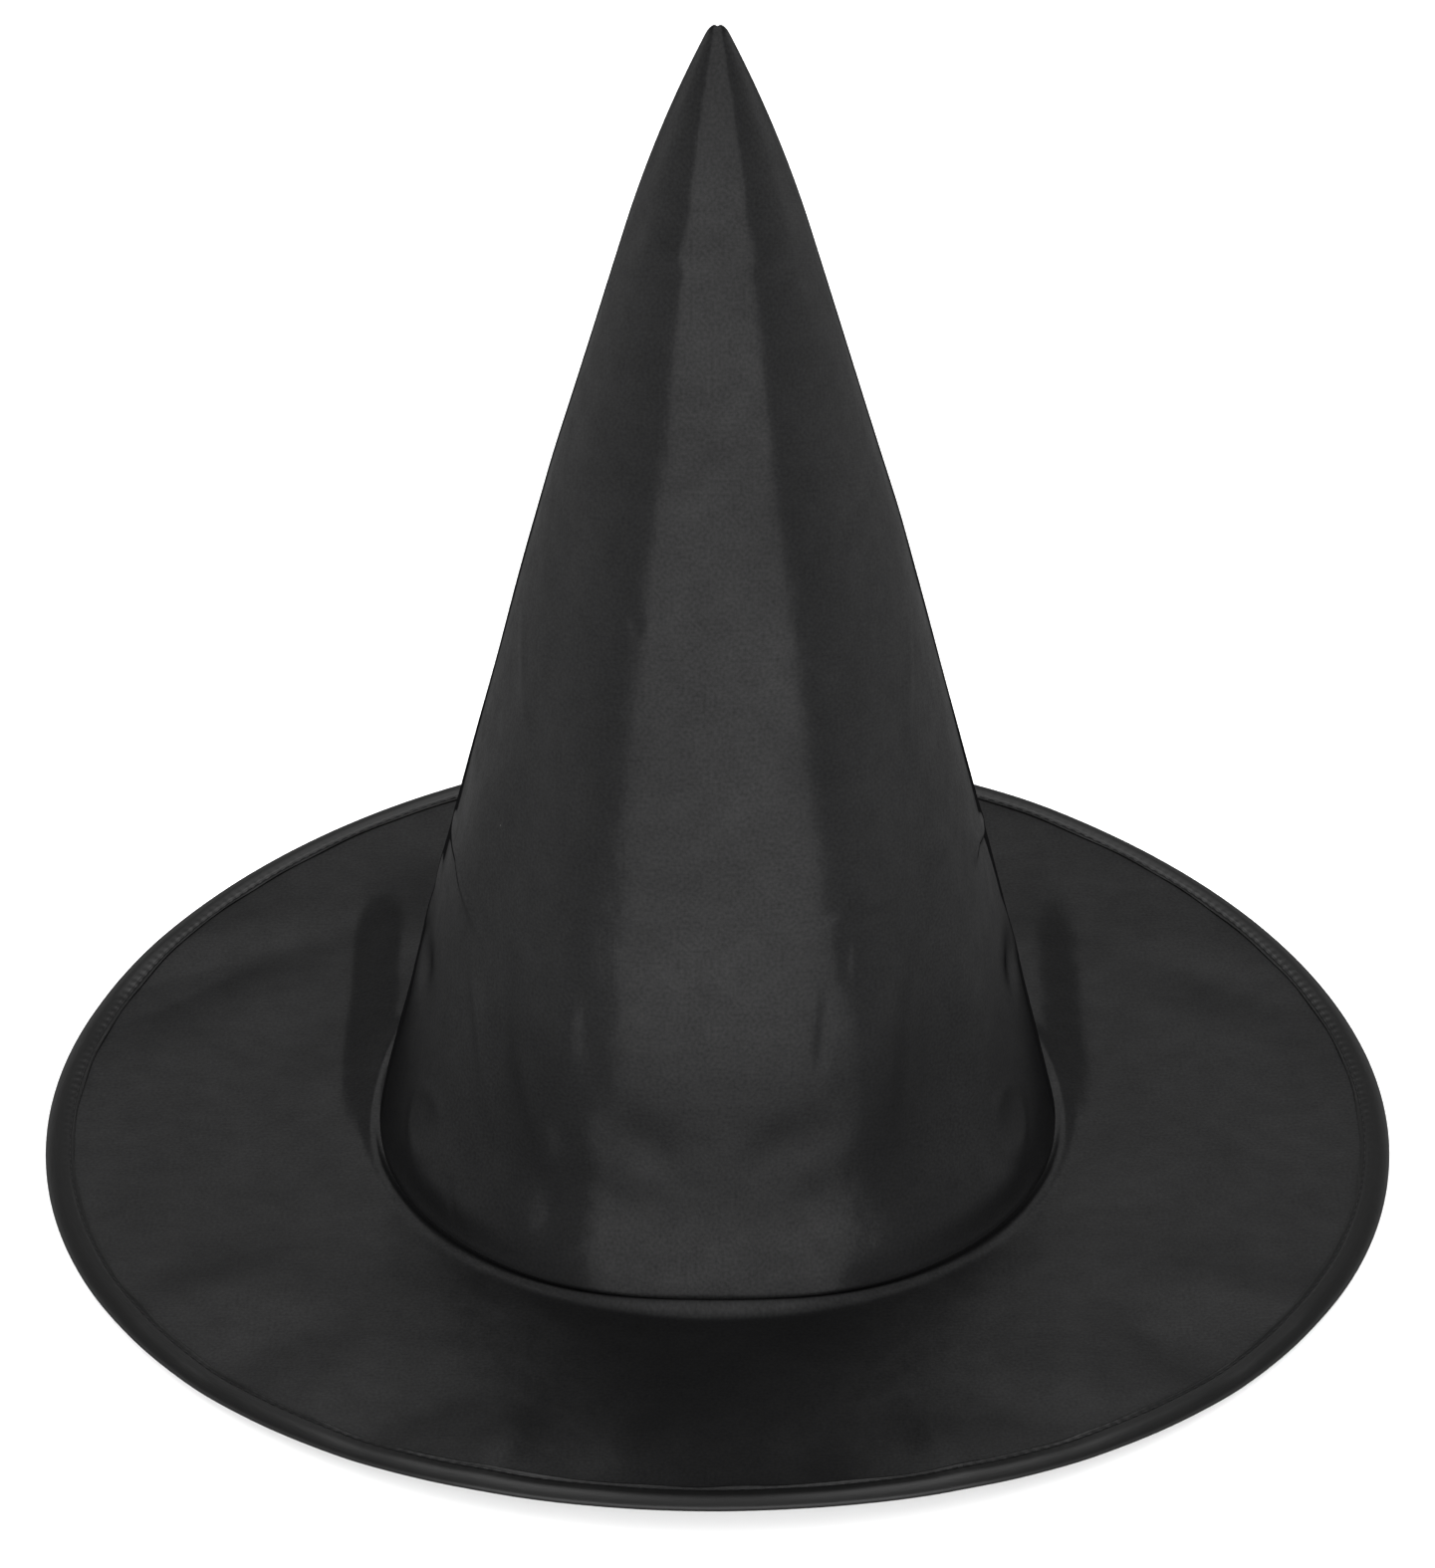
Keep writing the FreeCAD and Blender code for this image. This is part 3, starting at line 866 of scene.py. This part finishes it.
def make_brim():
    outer = RIM_RADIUS - CLOTH_INSET
    cloth = satin("brim satin")
    core_felt = felt("felt", (0.04, 0.04, 0.042))
    top = brim_sheet("brim_top_satin", outer, HALF_BRIM, TOP_COLUMNS, shaped=True)
    under = brim_sheet("brim_under_satin", outer, -HALF_BRIM, UNDER_COLUMNS, face_up=False)
    core = brim_sheet("brim_felt_core", RIM_RADIUS - FELT_INSET, STIFFENER / 2, FELT_COLUMNS, coarse=True)
    layers = (
        (top, CLOTH, "brim_top_cloth", "brim_satin", cloth, ["brim_felt_core"]),
        (under, CLOTH, "brim_under_cloth", "under_cloth", cloth, ["edge_binding_tape"]),
        (core, STIFFENER, "brim_stiffener", "stiffener_felt", core_felt, ["brim_under_satin"]),
    )
    for piece, thickness, node, slot, material, below in layers:
        thicken(piece, thickness)
        finish_piece(piece, node, material)


def folded(flat, fold_in, fold_up, level):
    """A section that runs out along flat at level, round the fold, and back in on the other side."""
    out = [flat, np.full(len(flat), level)]
    back_in = [flat[::-1], np.full(len(flat), -level)]
    return np.concatenate([out, [fold_in, fold_up], back_in], axis=1)


def binding_outline():
    """The folded tape's face and back, each as (inset from the rim, height)."""
    flat = np.linspace(BINDING_WIDTH, FOLD_REACH, BINDING_POINTS)
    fold = np.linspace(np.pi / 2, -np.pi / 2, BINDING_POINTS)[1:-1]
    face = folded(flat, FOLD_REACH * (1 - np.cos(fold)), HALF_BOUND * np.sin(fold), HALF_BOUND)
    fold = fold[::2][::-1]
    fold_in = BINDING_CLOTH + 1.0 * MM * (1 - np.cos(fold))
    back = folded(flat[::3], fold_in, (HALF_BRIM + 0.02 * MM) * np.sin(fold), -HALF_BRIM)
    return face, back


def binding_relief(inset, angle, stitches):
    """How far the tape's face stands out: it is full between rim and row, and drawn in at the row."""
    groove = BINDING_GROOVE * np.exp(-((inset - BINDING_ROW) / (0.5 * MM)) ** 2)
    puff = 0.25 * MM * np.exp(-((inset - 3.8 * MM) / (2.0 * MM)) ** 2)
    pucker = 0.05 * MM * np.cos(angle * stitches) * np.exp(-((inset - 6.6 * MM) / (1.6 * MM)) ** 2)
    curl = 0.10 * MM * np.sin(angle * 37 + 2 * np.sin(angle * 11)) * smooth(7.5 * MM, 8.2 * MM, inset)
    arc = turn(angle - BINDING_LAP) * RIM_RADIUS
    lap = 0.35 * MM * smooth(-5 * MM, -4.4 * MM, arc) * (1 - smooth(4.6 * MM, 6 * MM, arc))
    return puff + pucker + curl + lap * smooth(0.2 * MM, 1.4 * MM, inset) - groove


def make_binding():
    """Tape folded over the rim, sewn down in a groove, with its end lapped at the back."""
    stitches = round(2 * math.pi * (RIM_RADIUS - BINDING_ROW) / STITCH_PITCH)
    face, back = binding_outline()
    angle = ring_angles(4 * stitches)
    inset = np.concatenate([face[0], back[0]])[:, None] + 0 * angle
    height = np.concatenate([face[1], back[1]])[:, None] + 0 * angle
    on_face = np.concatenate([np.ones(face.shape[1]), np.zeros(back.shape[1])])[:, None]
    swell = np.sign(height) * on_face * binding_relief(inset, angle, stitches)
    wander = 0.18 * MM * np.sin(angle * 13 + np.sin(angle * 5)) + 0.12 * MM * np.sin(angle * 41)
    free_edge = smooth(7.0 * MM, 8.2 * MM, inset) * wander
    x, y = polar(RIM_RADIUS - inset - free_edge, angle)
    z = np.maximum(brim_level(x, y) + height + swell, 0)
    piece = grid_piece("edge_binding_tape", np.stack([x, y, z], -1), wrap_rows=True, flip=True)
    inset_steps = np.diff(inset, axis=0, prepend=inset[:1])
    height_steps = np.diff(height, axis=0, prepend=height[:1])
    length = np.cumsum(np.hypot(inset_steps, height_steps), axis=0)
    add_uv(piece, np.stack([angle * RIM_RADIUS + 0 * inset, length], -1).reshape(-1, 2))
    weave = tape("binding tape", (0.009, 0.009, 0.009), roughness=0.36, gloss=0.42,
                 turned=35, pitch=0.35, depth=0.06)
    finish_piece(piece, "edge_binding", weave)


def bent_bar(name, inner, outer, half, angles):
    """A strip of rectangular section round the brim, at the middle of its thickness."""
    corners = [(inner, -half), (outer, -half), (outer, half), (inner, half)]
    radius = np.array([corner[0] for corner in corners])[:, None] + 0 * angles
    x, y = polar(radius, angles)
    lift = np.array([corner[1] for corner in corners])[:, None]
    z = brim_level(*polar((inner + outer) / 2, angles)) + lift + 0 * x
    piece = grid_piece(name, np.stack([x, y, z], -1), round_it=False, wrap_rows=True, flip=True)
    for face in piece.data.polygons:
        face.use_smooth = False
    return piece


def make_hoop():
    half_gap = HOOP_GAP / 2 / HOOP_OUTER
    around = np.linspace(-np.pi + half_gap, np.pi - half_gap, HOOP_COLUMNS)
    hoop = bent_bar("brim_hoop_strip", HOOP_INNER, HOOP_OUTER, HOOP_HALF, around)
    finish_piece(hoop, "brim_hoop", steel("hoop steel", (0.55, 0.55, 0.56), 0.35))
    reach = FERRULE_LENGTH / 2 / HOOP_OUTER
    span = np.linspace(np.pi - reach, np.pi + reach, SLEEVE_COLUMNS)
    grow = FERRULE_WALL + LAYER_GAP
    outer = HOOP_OUTER + grow - 0.1 * MM    # flatter on the rim's side, inside the fold
    sleeve = bent_bar("hoop_ferrule_sleeve", HOOP_INNER - grow, outer, HOOP_HALF + grow, span)
    finish_piece(sleeve, "hoop_ferrule", steel("ferrule steel", (0.6, 0.6, 0.6), 0.4))


def make_head_tape():
    """Ribbed tape round the opening, following the seam, with its end lapped at the back."""
    rise = np.linspace(TAPE_BOTTOM, TAPE_TOP, TAPE_ROWS)
    height = np.concatenate([rise, rise[::-1]])
    rounding = np.zeros(TAPE_ROWS)
    rounding[[0, -1]] = 0.2 * MM
    depth = np.concatenate([rounding, HEAD_TAPE - rounding])
    angle = ring_angles(TAPE_COLUMNS)
    inner = np.concatenate([np.ones(TAPE_ROWS), np.zeros(TAPE_ROWS)])[:, None]
    rows = sum(np.exp(-((height - row) / (0.6 * MM)) ** 2) for row in (BASE_ROW, TAPE_EDGE_ROW))
    wave = 0.12 * MM * np.sin(angle * 29 + 3 * np.sin(angle * 4)) * (height[:, None] / TAPE_TOP) ** 2
    arc = turn(angle - TAPE_LAP) * CROWN_RADIUS
    lap = 0.45 * MM * smooth(-7 * MM, -6 * MM, arc) * (1 - smooth(6 * MM, 7 * MM, arc))
    face = TAPE_OUTER - HEAD_TAPE
    radius = face + depth[:, None] + inner * (0.2 * MM * rows[:, None] - lap - wave)
    x, y = polar(radius, angle)
    z = brim_level(*polar(CROWN_RADIUS, angle)) + height[:, None] + 0 * x
    piece = grid_piece("head_tape_band", np.stack([x, y, z], -1), wrap_rows=True)
    length = np.concatenate([rise, 2 * TAPE_TOP - rise[::-1]])
    uv = np.stack([angle * face + 0 * radius, length[:, None] + 0 * radius], -1)
    add_uv(piece, uv.reshape(-1, 2))
    weave = tape("head tape", (0.014, 0.014, 0.015), roughness=0.7, gloss=0.3,
                 turned=90, pitch=0.9, depth=0.25)
    finish_piece(piece, "head_tape", weave)


# ---------------------------------------------------------------- stitches

def stitch_row(name, node, places, outwards, directions):
    """Stitches as short arched threads whose ends go down into the cloth."""
    along = np.linspace(-1, 1, THREAD_SECTIONS)
    around = np.arange(THREAD_SIDES) / THREAD_SIDES * 2 * np.pi
    arch = -0.45 * MM * np.abs(along) ** 4
    thick = THREAD_RADIUS * np.sqrt(np.clip(1.04 - along ** 6, 0.05, 1))
    sideways = np.cross(directions, outwards)
    centre = (places[:, None] + directions[:, None] * (along * STITCH_LENGTH / 2)[:, None]
              + outwards[:, None] * arch[:, None])
    ring = sideways[:, None] * np.cos(around)[:, None] + outwards[:, None] * np.sin(around)[:, None]
    points = centre[:, :, None] + ring[:, None] * thick[:, None, None]
    count = THREAD_SECTIONS * THREAD_SIDES
    one = grid_faces(THREAD_SECTIONS, THREAD_SIDES, True, False).tolist()
    one += [list(range(THREAD_SIDES))[::-1], list(range(count - THREAD_SIDES, count))]
    faces = [[corner + number * count for corner in face] for number in range(len(places)) for face in one]
    piece = new_piece(name, points.reshape(-1, 3).tolist(), faces)
    finish_piece(piece, node, THREAD)


def unit(vectors):
    return vectors / np.linalg.norm(vectors, axis=-1, keepdims=True)


def ring_stitches(name, node, radius, seat, lift, up):
    """A row all round, lift from the brim's middle at radius seat. The cloth under it faces up
    (1), down (-1) or in towards the hat's axis (0)."""
    count = 4 * round(math.pi / 2 * radius / STITCH_PITCH)
    angle = (np.arange(count) + 0.5) / count * 2 * np.pi
    step = 0.001
    places, ahead = (np.stack([*polar(radius, at), brim_level(*polar(seat, at)) + lift], -1)
                     for at in (angle, angle + step))
    outwards = np.stack([*polar(abs(up) - 1.0, angle), 0 * angle + up], -1)
    stitch_row(name, node, places, outwards, unit(ahead - places))


def make_stitches():
    row = RIM_RADIUS - BINDING_ROW
    lift = HALF_BOUND - BINDING_GROOVE + THREAD_RISE
    ring_stitches("binding_top_row", "binding_top_stitches", row, row, lift, up=1)
    ring_stitches("binding_under_row", "binding_under_stitches", row, row, -lift, up=-1)
    tape_face = TAPE_OUTER - HEAD_TAPE + 0.1 * MM
    ring_stitches("base_seam_row", "base_seam_stitches", tape_face, CROWN_RADIUS, BASE_ROW, up=0)
    ring_stitches("tape_edge_row", "tape_edge_stitches", tape_face, CROWN_RADIUS, TAPE_EDGE_ROW, up=0)


def make_seam_stitches():
    """The upright row on the seam tape."""
    first, last = run_at(TAPE_LINE) + STITCH_PITCH, run_at(SEAM_TAPE_TOP) - STITCH_PITCH
    runs = np.arange(first, last, STITCH_PITCH)
    depth = TAPE_DEPTH + SEAM_TAPE - 0.05 * MM
    back = np.full_like(runs, np.pi)
    places = crown_points(back, runs, depth)
    directions = unit(crown_points(back, runs + 0.1 * MM, depth) - places)
    outwards = np.cross(directions, [1.0, 0, 0])
    outwards = unit(outwards * -np.sign(outwards[:, 1:2]))
    stitch_row("crown_seam_row", "crown_seam_stitches", places, outwards, directions)


# ---------------------------------------------------------------- studio

FLOOR_SIZE = 5.4

# Lights: name, place, where it points, width, height and watts
FLOOR_WASH = ("floor_wash", (0, 0, 3.0), (0, 0, 0), 8.0, 8.0, 440.0)
SOFTBOXES = [
    ("front_softbox", (0, -1.25, 0.46), (0, 0, 0.2), 2.2, 0.8, 15.0),
    ("top_softbox", (0, 0.92, 1.44), (0, 0, 0.0), 1.15, 0.82, 7.4),
]

# The room's brightness from the horizon up to overhead, by the sine of the height
ROOM_LIGHT = [(0.0, 1.20), (0.18, 1.00), (0.35, 0.24), (0.50, 0.12), (0.78, 0.12), (1.0, 0.46)]

SENSOR = 36                     # width in millimetres, like the lens
LENS = 129.15
CAMERA_PLACE = (0, -1.3237, 0.9041)
CAMERA_DOWN = math.radians(30.9)


def make_floor():
    bpy.ops.mesh.primitive_plane_add(size=FLOOR_SIZE)
    floor = bpy.context.object
    floor.name = "floor"
    floor.data.materials.append(floor_paint())
    return floor


def area_light(name, place, target, width, height, watts):
    data = bpy.data.lights.new(name, "AREA")
    data.shape = "RECTANGLE"
    data.size = width
    data.size_y = height
    data.energy = watts
    lamp = bpy.data.objects.new(name, data)
    bpy.context.scene.collection.objects.link(lamp)
    lamp.location = place
    direction = Vector(target) - Vector(place)
    lamp.rotation_euler = direction.to_track_quat("-Z", "Y").to_euler()
    lamp.visible_camera = False
    return lamp


def make_world():
    """A grey room, brightest at the horizon, that is plain white to the camera."""
    world = bpy.data.worlds.new("studio")
    world.use_nodes = True
    nodes, links = world.node_tree.nodes, world.node_tree.links
    place = add_node(nodes, "ShaderNodeTexCoord")
    split = add_node(nodes, "ShaderNodeSeparateXYZ")
    links.new(place.outputs["Generated"], split.inputs["Vector"])
    ramp = add_node(nodes, "ShaderNodeValToRGB")
    steps = ramp.color_ramp.elements
    while len(steps) < len(ROOM_LIGHT):
        steps.new(0.5)
    for step, (height, light) in zip(steps, ROOM_LIGHT):
        step.position = height
        step.color = (light, light, light, 1)
    links.new(split.outputs["Z"], ramp.inputs["Fac"])
    seen = add_node(nodes, "ShaderNodeLightPath")
    mix = add_node(nodes, "ShaderNodeMix", data_type="RGBA")
    mix.inputs["B"].default_value = (1, 1, 1, 1)
    links.new(ramp.outputs["Color"], mix.inputs["A"])
    links.new(seen.outputs["Is Camera Ray"], mix.inputs["Factor"])
    links.new(mix.outputs["Result"], nodes["Background"].inputs["Color"])
    bpy.context.scene.world = world


def make_studio():
    """Soft lights in front and above behind, and a wash of light on the floor alone."""
    floor = make_floor()
    only_floor = bpy.data.collections.new("only_floor")
    only_floor.objects.link(floor)
    make_world()
    wash = area_light(*FLOOR_WASH)
    wash.light_linking.receiver_collection = only_floor
    wash.light_linking.blocker_collection = only_floor
    for softbox in SOFTBOXES:
        area_light(*softbox)
    bpy.context.scene.view_settings.view_transform = "Standard"


def make_camera():
    data = bpy.data.cameras.new("camera")
    data.sensor_width = SENSOR
    data.lens = LENS
    camera = bpy.data.objects.new("camera", data)
    bpy.context.scene.collection.objects.link(camera)
    camera.location = CAMERA_PLACE
    camera.rotation_euler = (math.pi / 2 - CAMERA_DOWN, 0, 0)
    bpy.context.scene.camera = camera


make_crown_cloth()
make_interlining()
make_seam_tape()
make_label()
make_brim()
make_binding()
make_hoop()
make_head_tape()
make_stitches()
make_seam_stitches()
make_studio()
make_camera()
